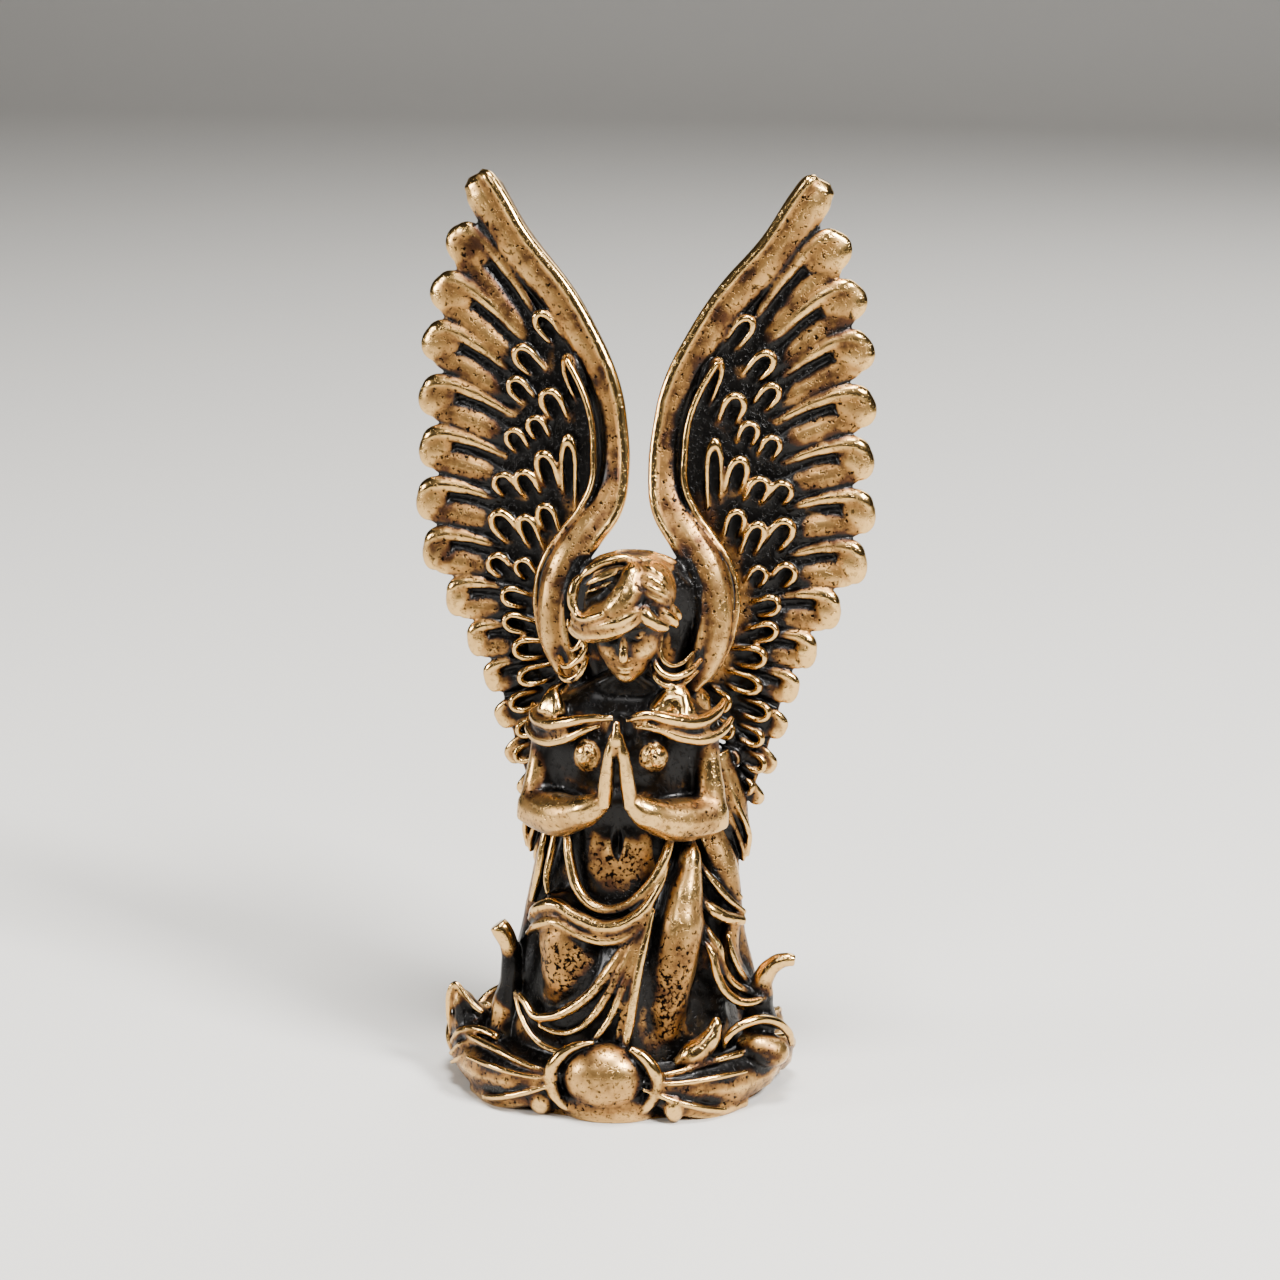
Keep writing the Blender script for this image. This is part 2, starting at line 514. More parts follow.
for side in (-1, 1):
    features.append(ball("nostril", (side * 0.24, -2.26, nose_up + 0.12), (0.15, 0.2, 0.14)))
    features.append(ball("eye", (side * 0.8, -1.72, eyes_up), (0.4, 0.32, 0.24)))
    lash = [(side * 0.44, -1.92, eyes_up - 0.02, 0.05), (side * 0.8, -2.05, eyes_up - 0.17, 0.07),
            (side * 1.2, -1.8, eyes_up - 0.04, 0.05)]
    brow = [(side * 0.3, -2.12, 0.32, 0.12), (side * 0.85, -2.12, 0.52, 0.14), (side * 1.45, -1.7, 0.36, 0.1)]
    features.append(rolls("lash_and_brow", [lash, brow]))
head = join("head", [head] + features)
bpy.ops.object.select_all(action="DESELECT")
head.rotation_euler.x = math.radians(HEAD_BOW)
head.location = HEAD_PLACE
settle(head)
print("the head is", round(head.dimensions.z, 2), "mm tall, with the eyes at", eyes_up, "and the mouth at",
      round(mouth_up, 2))

# %% [markdown]
# The hair is parted at one side. A heavy lock sweeps from the parting over
# the brow, another bends round a hollow with fine strands in it, and short
# tufts fall on the other side.

# %% The hair over the brow
LOBE, LOBE_RADII = (1.45, -3.1, 29.55), (1.4, 1.5, 1.7)


def on_front(x, z, place, radii):
    """The y of the front face of a ball over a spot (x, z)."""
    left = 1 - ((x - place[0]) / radii[0]) ** 2 - ((z - place[2]) / radii[2]) ** 2
    return place[1] - radii[1] * math.sqrt(max(left, 0.0))


SWEEP = [
    [(0.5, -3.2, 31.0, 0.4), (0.5, -3.85, 30.4, 0.68), (0.35, -4.2, 29.5, 0.95), (-0.1, -4.25, 28.8, 1.0),
     (-1.2, -4.05, 28.25, 0.76), (-2.3, -3.5, 27.95, 0.45), (-3.0, -3.0, 28.1, 0.26)],
    [(0.95, -4.75, 28.8, 0.36), (0.2, -5.0, 28.3, 0.38), (-0.6, -4.95, 28.0, 0.35), (-1.3, -4.65, 27.75, 0.3),
     (-2.2, -4.0, 27.55, 0.25), (-3.0, -3.25, 27.75, 0.18)],
    [(0.95, -4.7, 28.3, 0.3), (0.2, -4.95, 27.8, 0.32), (-0.6, -4.85, 27.45, 0.3), (-1.3, -4.6, 27.25, 0.27),
     (-2.2, -4.0, 27.1, 0.24), (-3.1, -3.15, 27.4, 0.17)],
    [(-0.9, -4.95, 28.55, 0.2), (-1.6, -4.65, 28.25, 0.22), (-2.3, -4.15, 28.05, 0.2),
     (-2.9, -3.5, 28.15, 0.14)],
    [(0.3, -4.75, 27.6, 0.16), (-0.4, -4.75, 27.25, 0.2), (-1.3, -4.4, 26.95, 0.2), (-2.3, -3.8, 26.85, 0.17),
     (-3.1, -3.1, 27.1, 0.13), (-3.35, -2.8, 27.7, 0.1)],
]
LOOP = [[(0.8, -2.8, 31.0, 0.28), (0.0, -2.9, 31.2, 0.34), (-0.8, -3.0, 31.15, 0.34),
         (-1.5, -3.05, 30.9, 0.32), (-2.0, -3.15, 30.6, 0.28), (-2.35, -3.2, 30.3, 0.16)],
        [(0.3, -3.6, 30.95, 0.1), (-0.6, -3.55, 30.7, 0.14), (-1.5, -3.45, 30.3, 0.14),
         (-2.1, -3.35, 29.9, 0.08)],
        [(-2.25, -3.2, 30.4, 0.12), (-2.7, -3.3, 29.95, 0.28), (-2.9, -3.4, 29.3, 0.34),
         (-2.9, -3.5, 28.7, 0.3), (-2.6, -3.75, 28.2, 0.2)]]
STRANDS = [[(-2.25, -3.3, 29.75 - 0.44 * i, 0.09), (-1.35, -3.6, 30.2 - 0.46 * i, 0.13),
            (-0.35 - 0.25 * i, -3.75, 30.6 - 0.46 * i, 0.1)] for i in range(3)]
TUFTS = []
for i in range(6):
    spots = [(1.0, 31.05 - 0.4 * i, 0.1), (1.55, 30.95 - 0.44 * i, 0.17),
             (2.1 + 0.03 * i, 30.6 - 0.45 * i, 0.17), (2.5 + 0.05 * i, 30.1 - 0.44 * i, 0.1)]
    TUFTS.append([(x, on_front(x, z, LOBE, LOBE_RADII) + 0.03, z, r) for x, z, r in spots])
ENDS = [[(1.15, -4.55, 29.0, 0.34), (1.45, -4.75, 28.45, 0.44), (1.95, -4.6, 28.0, 0.4),
         (2.5, -4.2, 27.7, 0.26)],
        [(1.8, -4.3, 29.0, 0.3), (2.3, -4.15, 28.5, 0.36), (2.75, -3.85, 28.05, 0.32),
         (2.95, -3.65, 27.7, 0.2)],
        [(2.3, -3.7, 29.0, 0.26), (2.8, -3.5, 28.5, 0.28), (3.1, -3.3, 28.05, 0.2)]]
print(len(SWEEP) + len(LOOP) + len(STRANDS) + len(TUFTS) + len(ENDS), "locks over the brow")

# %% [markdown]
# Three thin locks curl out over each shoulder. The rest falls behind as one
# smooth mass, with ribs of hair round it. The hair and the head are pressed
# in where the wide lock leaves its hollow.

# %% Locks on the shoulders and the hair behind
LOCKS = [
    [(-2.1, -2.6, 26.8, 0.12), (-2.35, -2.95, 25.9, 0.18), (-2.85, -3.0, 25.25, 0.2), (-3.4, -2.7, 24.9, 0.2),
     (-4.1, -1.1, 25.1, 0.16)],
    [(-2.1, -2.7, 25.8, 0.12), (-2.45, -3.1, 24.85, 0.2), (-2.95, -3.05, 24.3, 0.23),
     (-3.5, -2.7, 24.2, 0.22), (-4.1, -1.0, 24.7, 0.16)],
    [(-2.3, -2.6, 27.2, 0.1), (-2.55, -2.8, 26.4, 0.16), (-2.95, -2.7, 25.9, 0.16), (-3.5, -1.6, 25.9, 0.1)],
    [(1.55, -2.8, 26.0, 0.12), (1.8, -3.15, 25.15, 0.2), (2.5, -3.1, 24.65, 0.23), (3.2, -2.7, 24.7, 0.22),
     (4.0, -1.1, 25.2, 0.16)],
    [(1.45, -2.8, 25.2, 0.1), (1.8, -3.1, 24.4, 0.16), (2.5, -3.0, 24.08, 0.18), (3.1, -2.4, 24.1, 0.16),
     (3.8, -1.0, 24.5, 0.12)],
    [(1.95, -2.6, 26.8, 0.12), (1.95, -2.9, 25.9, 0.16), (2.35, -2.9, 25.3, 0.17), (2.9, -2.5, 25.2, 0.14),
     (3.6, -1.4, 25.7, 0.1)],
]
NAPE = [(31.0, 0.1, -0.5, 1.0, 0.7), (30.4, 0.1, -0.4, 2.3, 1.3), (29.3, 0.0, -0.1, 3.35, 1.8),
        (27.5, 0.0, 0.4, 3.8, 2.0), (25.0, -0.1, 0.8, 3.5, 2.0), (22.5, -0.1, 1.2, 3.0, 1.8),
        (20.5, -0.1, 1.5, 2.2, 1.5)]
RIB_RADII = (0.2, 0.3, 0.36, 0.4, 0.4, 0.34, 0.16)


def rib(ovals, degrees, share=1.0):
    """A roll down level ovals, so far round from behind. Their rows end with the roll's radius."""
    turn = math.radians(degrees)
    return [(x + share * wide * math.sin(turn), y + share * deep * math.cos(turn), z, radius)
            for z, x, y, wide, deep, radius in ovals]


BACK_HAIR = [rib([(*oval, r) for oval, r in zip(NAPE, RIB_RADII)], -78 + 13 * i, 0.95) for i in range(13)]
cap = ball("cap", (0.0, -2.3, 28.3), (2.5, 2.3, 2.5), (9, 0, 0))
for crown in (cap, head):
    push(crown, (-1.4, -3.7, 29.8), (1.5, 1.5, 1.1), (0.2, 1.0, -0.1))
fine_hair = {"sweep": SWEEP, "loop": LOOP, "strands": STRANDS, "tufts": TUFTS, "tuft_ends": ENDS,
             "side_locks": LOCKS}
hair = [cap, ball("lobe", LOBE, LOBE_RADII)] + [rolls(name, paths) for name, paths in fine_hair.items()]
hair = join("hair", hair + [rolls("back_hair", BACK_HAIR), trunk("nape", NAPE)])
print(len(LOCKS), "locks on the shoulders and", len(BACK_HAIR), "ribs behind")

# %% [markdown]
# Hands, wrap and robe
#
# The palms meet and leave a narrow slit. A wrap crosses the breast in two
# thick lines on each side, with a thin one between. The robe hangs from the
# hips in doubled folds, gathers at the raised knee and fans down to a hem on
# the base. Behind, the mantle falls straight to the ground in wide folds.

# %% Hands and the wrap over the breast
HANDS = [[(side * 0.75, -6.1, 17.9, 0.44), (side * 0.6, -6.3, 19.3, 0.44), (side * 0.38, -6.45, 20.9, 0.34),
          (side * 0.18, -6.5, 22.1, 0.2)] for side in (-1, 1)]
HANDS.append([(0.0, -6.4, 20.9, 0.2), (0.0, -6.5, 21.8, 0.3), (0.0, -6.45, 22.9, 0.17)])
WRAP = [
    [(-5.6, -1.0, 22.2, 0.2), (-5.3, -2.2, 21.75, 0.34), (-4.4, -3.3, 21.7, 0.38), (-3.1, -4.2, 22.1, 0.34),
     (-1.8, -4.7, 22.5, 0.26), (-0.4, -5.0, 22.65, 0.18)],
    [(-5.9, -0.9, 21.4, 0.18), (-5.6, -2.0, 20.85, 0.3), (-4.6, -3.1, 20.65, 0.34), (-3.3, -4.0, 21.05, 0.3),
     (-2.2, -4.5, 21.7, 0.22), (-1.2, -4.6, 22.1, 0.12)],
    [(-5.7, -1.0, 21.8, 0.12), (-5.2, -2.5, 21.2, 0.14), (-4.2, -3.5, 21.2, 0.14), (-3.1, -4.2, 21.6, 0.12)],
    [(0.3, -5.0, 22.55, 0.16), (1.4, -4.8, 22.85, 0.28), (2.7, -4.3, 22.5, 0.38), (4.0, -3.2, 22.1, 0.42),
     (4.9, -1.9, 22.3, 0.34), (5.3, -0.8, 22.8, 0.22)],
    [(0.8, -4.8, 22.15, 0.12), (2.0, -4.5, 22.0, 0.24), (3.2, -3.9, 21.4, 0.32), (4.4, -3.0, 21.1, 0.36),
     (5.3, -1.8, 21.3, 0.32), (5.7, -0.8, 21.8, 0.2)],
    [(1.2, -4.8, 22.4, 0.08), (2.4, -4.4, 22.05, 0.12), (3.6, -3.6, 21.6, 0.13), (4.7, -2.6, 21.6, 0.12)],
]
details = [rolls("hands", HANDS, 1.35), rolls("wrap", WRAP)]
print(len(WRAP), "lines in the wrap")

# %% The folds of the robe
SLUNG = [
    [(-3.35, -3.0, 15.9, 0.26), (-3.05, -3.9, 13.9, 0.31), (-2.3, -4.55, 12.15, 0.33),
     (-1.3, -4.9, 11.5, 0.34),
     (-0.1, -5.0, 11.55, 0.34), (1.3, -4.9, 12.6, 0.33), (2.3, -4.45, 14.2, 0.31), (2.75, -3.5, 15.9, 0.26)],
    [(-5.6, -2.6, 9.9, 0.2), (-4.9, -3.9, 11.0, 0.36), (-3.8, -4.6, 11.5, 0.4), (-2.4, -5.2, 11.0, 0.42),
     (-0.6, -5.7, 10.7, 0.42), (1.0, -5.6, 11.4, 0.38), (2.0, -5.0, 12.7, 0.28), (2.6, -4.2, 14.2, 0.16)],
    [(-5.7, -2.8, 9.1, 0.2), (-4.8, -4.2, 10.15, 0.3), (-3.7, -5.0, 10.6, 0.32), (-2.3, -5.5, 10.15, 0.32),
     (-0.6, -5.9, 9.95, 0.3), (0.9, -5.8, 10.6, 0.28), (1.8, -5.4, 11.7, 0.2)],
    [(-5.5, -2.6, 9.5, 0.12), (-4.8, -4.1, 10.6, 0.14), (-3.7, -4.9, 11.05, 0.15), (-2.3, -5.4, 10.6, 0.15),
     (-0.6, -5.9, 10.35, 0.15), (0.9, -5.8, 11.0, 0.13)],
    [(-4.6, -1.4, 16.0, 0.2), (-4.9, -2.0, 14.2, 0.26), (-5.2, -2.2, 12.4, 0.26), (-5.6, -2.0, 10.8, 0.2)],
    [(-4.0, -2.2, 15.8, 0.2), (-4.3, -2.9, 14.0, 0.24), (-4.5, -3.3, 12.6, 0.22), (-4.4, -3.6, 11.8, 0.14)],
]
GATHERED = [
    [(1.1, -5.6, 11.0, 0.16), (-0.3, -6.15, 8.5, 0.28), (-1.7, -6.4, 6.75, 0.32), (-3.0, -6.3, 5.75, 0.3),
     (-4.1, -5.9, 5.25, 0.27), (-4.9, -5.5, 5.15, 0.24), (-5.5, -4.9, 5.7, 0.22), (-6.2, -4.2, 6.1, 0.18)],
    [(1.4, -5.6, 11.2, 0.14), (0.3, -6.3, 8.6, 0.24), (-0.8, -6.6, 6.5, 0.26), (-1.5, -6.65, 5.5, 0.24),
     (-2.2, -6.55, 4.85, 0.2), (-3.3, -6.3, 4.5, 0.17), (-4.6, -5.8, 4.7, 0.12)],
    [(1.7, -5.5, 11.4, 0.14), (0.9, -6.2, 9.0, 0.24), (0.2, -6.6, 7.0, 0.26), (-0.4, -6.8, 5.6, 0.22),
     (-1.0, -6.95, 4.7, 0.19), (-1.6, -6.95, 4.0, 0.19), (-2.6, -6.8, 3.6, 0.19), (-3.7, -6.5, 3.55, 0.19),
     (-4.8, -5.9, 3.95, 0.19), (-5.7, -5.0, 4.9, 0.18), (-6.2, -4.2, 5.9, 0.16)],
    [(1.9, -5.4, 11.8, 0.16), (1.4, -6.1, 9.4, 0.28), (1.0, -6.5, 7.2, 0.32), (0.7, -6.8, 5.0, 0.3),
     (0.4, -7.0, 3.8, 0.22)],
    [(1.6, -5.7, 10.6, 0.1), (0.9, -6.3, 8.2, 0.16), (0.4, -6.6, 6.2, 0.18), (0.05, -6.8, 4.4, 0.14)],
    [(0.5, -5.8, 10.2, 0.1), (-0.8, -6.2, 8.2, 0.14), (-2.0, -6.3, 6.7, 0.14), (-3.0, -6.2, 6.1, 0.08)],
]
FALLS = [
    [(3.3, -2.0, 15.2, 0.14), (4.1, -2.2, 13.5, 0.2), (4.9, -2.2, 12.5, 0.23), (5.8, -2.0, 11.4, 0.23),
     (6.6, -1.4, 10.5, 0.18)],
    [(3.9, -2.8, 12.6, 0.18), (4.3, -3.0, 11.7, 0.3), (5.1, -2.9, 10.95, 0.38), (5.9, -2.4, 10.45, 0.38),
     (6.6, -1.7, 10.1, 0.28)],
    [(4.0, -1.4, 15.0, 0.12), (4.8, -1.5, 13.4, 0.17), (5.6, -1.4, 12.2, 0.17), (6.4, -1.0, 11.2, 0.13)],
    [(4.4, -3.6, 10.6, 0.16), (4.9, -3.8, 9.9, 0.22), (5.4, -3.8, 9.2, 0.24), (5.6, -3.8, 8.1, 0.24),
     (6.3, -3.5, 6.9, 0.24), (7.2, -2.9, 6.2, 0.2)],
    [(4.4, -4.1, 9.9, 0.14), (5.1, -4.3, 8.9, 0.24), (5.45, -4.4, 7.6, 0.28), (6.1, -4.3, 6.5, 0.28),
     (7.0, -3.8, 5.95, 0.26), (8.0, -2.9, 6.0, 0.2)],
    [(5.8, -2.9, 9.7, 0.12), (6.15, -3.0, 8.4, 0.2), (6.7, -2.8, 7.2, 0.2), (7.3, -2.5, 6.3, 0.14)],
    [(5.9, -2.0, 10.1, 0.5), (5.9, -2.3, 8.4, 0.5), (6.4, -2.2, 6.8, 0.6), (7.0, -2.0, 5.4, 0.9)],
]
SKIRT = [(20.0, -0.2, 1.05, 4.5, 1.65, 0.12), (16.5, -0.2, 1.05, 4.6, 1.8, 0.24),
         (12.5, -0.2, 1.1, 4.7, 2.1, 0.34),
         (9.3, -0.25, 0.8, 5.2, 3.2, 0.46), (6.0, -0.4, 0.2, 6.2, 4.8, 0.62),
         (2.4, -0.6, 0.2, 7.3, 5.9, 0.85)]
HANGING = [rib(SKIRT, 88 - 17.6 * i) for i in range(11)]
details += [rolls("slung_folds", SLUNG, 1.15), rolls("gathered_folds", GATHERED, 1.25),
            rolls("falling_folds", FALLS, 1.25), rolls("hanging_folds", HANGING)]
print(len(SLUNG) + len(GATHERED) + len(FALLS) + len(HANGING), "folds in the robe and the mantle")

# %% [markdown]
# The base
#
# The angel kneels on a low mound of scrolled leaves. Two long leaves open to
# the sides in front, with raised veins, and plain leaves go round the back.

# %% The mound and its leaves
BASE_X, BASE_WIDE, BASE_DEEP, BASE_TALL = -0.8, 9.5, 8.3, 3.1


def around(degrees, share, z, radius):
    """A point of a roll on the base's oval, where -90 degrees is the front and share 1 is the rim."""
    turn = math.radians(degrees)
    return (BASE_X + share * BASE_WIDE * math.cos(turn), share * BASE_DEEP * math.sin(turn), z, radius)


mound = trunk("mound", [(-0.8, BASE_X, 0, BASE_WIDE * 0.9, BASE_DEEP * 0.9),
                        (1.1, BASE_X, 0, BASE_WIDE * 0.95, BASE_DEEP * 0.95),
                        (2.3, BASE_X, 0, BASE_WIDE * 0.9, BASE_DEEP * 0.9),
                        (BASE_TALL, BASE_X, 0, BASE_WIDE * 0.72, BASE_DEEP * 0.72)])
LEAVES = []
for side in (-1, 1):
    for stops in (
        ((14, 0.95, 2.3, 0.2), (24, 0.95, 2.0, 0.75), (37, 0.93, 1.75, 1.15), (53, 0.9, 1.6, 1.45),
         (69, 0.9, 1.65, 1.4), (84, 0.93, 1.5, 1.0)),
        ((13, 0.98, 2.6, 0.1), (27, 0.98, 2.85, 0.17), (42, 0.97, 3.15, 0.22), (57, 0.97, 3.15, 0.22),
         (71, 0.98, 2.8, 0.2), (83, 1.0, 2.1, 0.16)),
        ((14, 1.0, 2.4, 0.08), (27, 1.04, 2.4, 0.15), (40, 1.06, 2.5, 0.18), (53, 1.06, 2.4, 0.12)),
        ((15, 1.02, 2.1, 0.1), (26, 1.05, 1.35, 0.18), (36, 1.06, 0.75, 0.2), (45, 1.04, 0.3, 0.14)),
        ((16, 0.95, 1.6, 0.3), (28, 0.97, 0.9, 0.6), (42, 0.97, 0.4, 0.7), (58, 0.95, 0.3, 0.6)),
    ):
        LEAVES.append([around(-90 + side * angle, *rest) for angle, *rest in stops])
for i in range(7):
    middle = -2 + 184 * i / 6
    for stops in (
        ((-14, 0.86, 2.9, 0.6), (-5, 0.94, 2.2, 1.1), (5, 0.95, 1.4, 1.05), (13, 0.93, 0.8, 0.6)),
        ((-12, 0.95, 3.3, 0.15), (-3, 1.03, 2.9, 0.24), (6, 1.05, 2.0, 0.26), (13, 1.01, 1.2, 0.2)),
    ):
        LEAVES.append([around(middle + angle, *rest) for angle, *rest in stops])
print(len(LEAVES), "leaves and veins on the mound")

# %% [markdown]
# A few scrolls stand up beside the robe. In front, in the middle, a pearl sits
# in a cup, with two open rings round it.

# %% Scrolls, pearl and cup
SCROLLS = [
    [(7.6, -2.4, 4.0, 1.1), (7.6, -2.4, 5.9, 0.78), (7.85, -2.4, 7.1, 0.6), (8.5, -2.4, 7.9, 0.5),
     (9.15, -2.4, 8.15, 0.42), (9.6, -2.4, 8.1, 0.34)],
    [(-9.0, -1.4, 1.6, 1.5), (-9.3, -1.6, 3.2, 1.2), (-9.75, -1.7, 4.4, 0.7), (-10.2, -1.7, 5.35, 0.24)],
    [(-10.5, -1.6, 2.4, 0.14), (-10.6, -1.8, 3.8, 0.18), (-10.45, -1.8, 5.2, 0.18), (-10.2, -1.8, 5.5, 0.16),
     (-9.7, -2.0, 5.1, 0.18), (-9.1, -2.3, 4.5, 0.18), (-8.4, -2.6, 4.1, 0.16)],
    [(-7.0, -2.2, 2.4, 1.4), (-7.0, -2.2, 4.2, 1.0), (-6.75, -2.3, 6.4, 0.68), (-6.9, -2.2, 8.1, 0.56),
     (-7.35, -2.1, 9.0, 0.62), (-7.6, -2.1, 9.35, 0.56)],
    [(5.7, -4.7, 3.3, 0.16), (6.1, -4.8, 4.3, 0.26), (7.1, -4.3, 4.95, 0.3), (8.3, -3.3, 4.8, 0.3),
     (9.2, -2.3, 3.8, 0.27), (9.4, -1.6, 2.8, 0.2)],
    [(-10.3, -2.3, 2.1, 0.2), (-9.6, -3.0, 3.0, 0.3), (-8.5, -3.6, 3.4, 0.3), (-7.2, -4.4, 3.3, 0.24)],
    [(-10.3, -2.9, 1.6, 0.16), (-9.3, -3.8, 2.6, 0.2), (-7.9, -4.7, 2.95, 0.2), (-6.4, -5.6, 2.7, 0.14)],
    [(-10.2, -3.3, 1.2, 0.12), (-9.1, -4.4, 2.1, 0.16), (-7.6, -5.4, 2.5, 0.16), (-6.0, -6.3, 2.4, 0.1)],
    [(3.4, -6.1, 2.8, 0.5), (4.3, -6.0, 3.5, 0.78), (5.1, -5.7, 4.3, 0.62), (5.45, -5.5, 5.1, 0.4),
     (5.5, -5.4, 5.6, 0.2)],
]
PEARL_X, PEARL_Z = -0.55, 2.45
RING_WIDE, RING_TALL = 3.0, 2.3
RING_RADII = ((0, 0.12), (22, 0.26), (45, 0.38), (70, 0.42), (95, 0.42), (118, 0.34), (135, 0.2))
RING = []
for start in (100, -75):
    turns = [(math.radians(start + step), radius) for step, radius in RING_RADII]
    RING.append([(PEARL_X + RING_WIDE * math.cos(turn), -BASE_DEEP + 0.5,
                  PEARL_Z - 0.1 + RING_TALL * math.sin(turn), radius) for turn, radius in turns])
CUP_EDGE = [(-6.2, -6.7, 0.5, 0.1), (-5.1, -7.4, 1.3, 0.16), (-4.0, -7.9, 1.75, 0.12)]
base = [mound, rolls("leaves", LEAVES), rolls("scrolls", SCROLLS), rolls("ring", RING + [CUP_EDGE]),
        ball("lobe", (7.9, -3.4, 3.1), (1.55, 1.2, 1.0), (0, 12, 0)),
        ball("pearl", (PEARL_X, -BASE_DEEP + 0.9, PEARL_Z), (2.42, 1.7, 1.95)),
        ball("cup", (-0.4, -BASE_DEEP + 1.5, 0.9), (2.95, 1.75, 1.7)),
        ball("petal", (3.4, -7.4, 0.9), (0.62, 0.75, 0.9)),
        ball("petal", (-4.2, -7.3, 0.9), (0.72, 0.75, 0.9))]
print(len(SCROLLS), "scrolls and", len(base), "parts on the base")

# %% [markdown]
# One skin
#
# The wax parts only touch and overlap so far. Melting them together in cells
# of about a tenth of a millimetre gives a single closed skin, and two passes
# of smoothing round the seams as a flame does. The skin has more faces than
# the shape needs, so it is thinned, which keeps small faces where the relief
# is fine. What hangs below the ground is cut off level, and crumbs of wax
# that the melting left loose inside are taken out.

# %% Fuse, thin and stand it flat
figure = fuse("angel_casting", [body, head, hair, wing, other_wing] + details + base, SKIN_CELL, passes=2)
for leftover in (paddle, hairpin):
    bpy.data.objects.remove(leftover)
change(figure, "DECIMATE", ratio=TRIANGLES / (2 * len(figure.data.polygons)))
bpy.ops.object.select_all(action="DESELECT")
bpy.ops.mesh.primitive_cube_add(size=40, location=(0, 0, -20))
below_ground = bpy.context.object
change(figure, "BOOLEAN", operation="DIFFERENCE", solver="EXACT", object=below_ground)
bpy.data.objects.remove(below_ground)
for part in (figure.data.polygons, figure.data.edges, figure.data.vertices):
    part.foreach_set("select", [False] * len(part))
max(figure.data.vertices, key=lambda v: v.co.z).select = True
points_before = len(figure.data.vertices)
bpy.ops.object.mode_set(mode="EDIT")
bpy.ops.mesh.select_mode(type="VERT")
bpy.ops.mesh.select_linked()
bpy.ops.mesh.select_all(action="INVERT")
bpy.ops.mesh.delete(type="VERT")
bpy.ops.object.mode_set(mode="OBJECT")
print(points_before - len(figure.data.vertices), "points of loose crumbs taken out")
print("the casting has", len(figure.data.polygons), "faces and is", [round(s, 2) for s in figure.dimensions])

# %% [markdown]
# Where it shines and where it is black
#
# Polishing only reaches what stands out. Three measures say how far it
# reached. Two are the height of a point over a blurred copy of the casting,
# one finely and one broadly blurred, much as a hard and a soft buffing wheel
# ride on the high places. The third is how much open space the point looks
# into, from rays sent out from the surface.

# %% Measure the height and the open space
RAY_LIFT, RAY_SKIM, RAY_REACH, RAYS = 0.03, 0.12, 1.6, 40


def height_over(piece, places, cell, passes):
    """How far each place stands out of a copy of the piece melted in larger cells and smoothed."""
    pick(piece)
    bpy.ops.object.duplicate()
    broad = fuse("broad_form", [bpy.context.object], cell, passes)
    tree = BVHTree.FromObject(broad, bpy.context.evaluated_depsgraph_get())
    heights = np.empty(len(places))
    for i, place in enumerate(places):
        spot, outward, _, _ = tree.find_nearest(Vector(place))
        heights[i] = (Vector(place) - spot).dot(outward)
    bpy.data.objects.remove(broad)
    return heights


def openness(piece, places, normals, directions):
    """The share of the open space in front of each point that nothing nearby blocks."""
    tree = BVHTree.FromObject(piece, bpy.context.evaluated_depsgraph_get())
    facing = normals @ directions.T
    ways = [Vector(d) for d in directions]
    free = np.empty(len(places))
    for i, place in enumerate(places + normals * RAY_LIFT):
        start = Vector(place)
        weights = facing[i]
        total = clear = 0.0
        for j in np.flatnonzero(weights > RAY_SKIM):
            weight = weights[j]
            total += weight
            if tree.ray_cast(start, ways[j], RAY_REACH)[0] is None:
                clear += weight
        free[i] = clear / max(total, 1e-6)
    return free


mesh = figure.data
places = np.array([v.co for v in mesh.vertices], float)
normals = np.array([v.normal for v in mesh.vertices], float)
turns = np.arange(RAYS) * math.pi * (3 - math.sqrt(5))
heights = 1 - 2 * (np.arange(RAYS) + 0.5) / RAYS
flat = np.sqrt(1 - heights ** 2)
sphere = np.stack([flat * np.cos(turns), flat * np.sin(turns), heights], axis=1)
fine = height_over(figure, places, cell=0.2, passes=8)
broad = height_over(figure, places, cell=0.34, passes=16)
space = openness(figure, places, normals, sphere)
for name, values in (("fine height", fine), ("broad height", broad), ("open share", space)):
    spread = np.percentile(values, (5, 25, 50, 75, 95))
    print(name, "at 5, 25, 50, 75 and 95 %:", [round(float(q), 3) for q in spread])

# %% [markdown]
# Relief alone doesn't tell everything. The maker leaves the patina thick in
# some places, such as the throat and the cloth behind the arms, and rubs it
# off others, such as the shoulders, which have an amount below zero here.
# The belly, the breast, the knee and the robe keep more of the pitted skin of
# the casting. The measures and this work by hand are kept on the mesh as one
# colour attribute, which the metal reads.

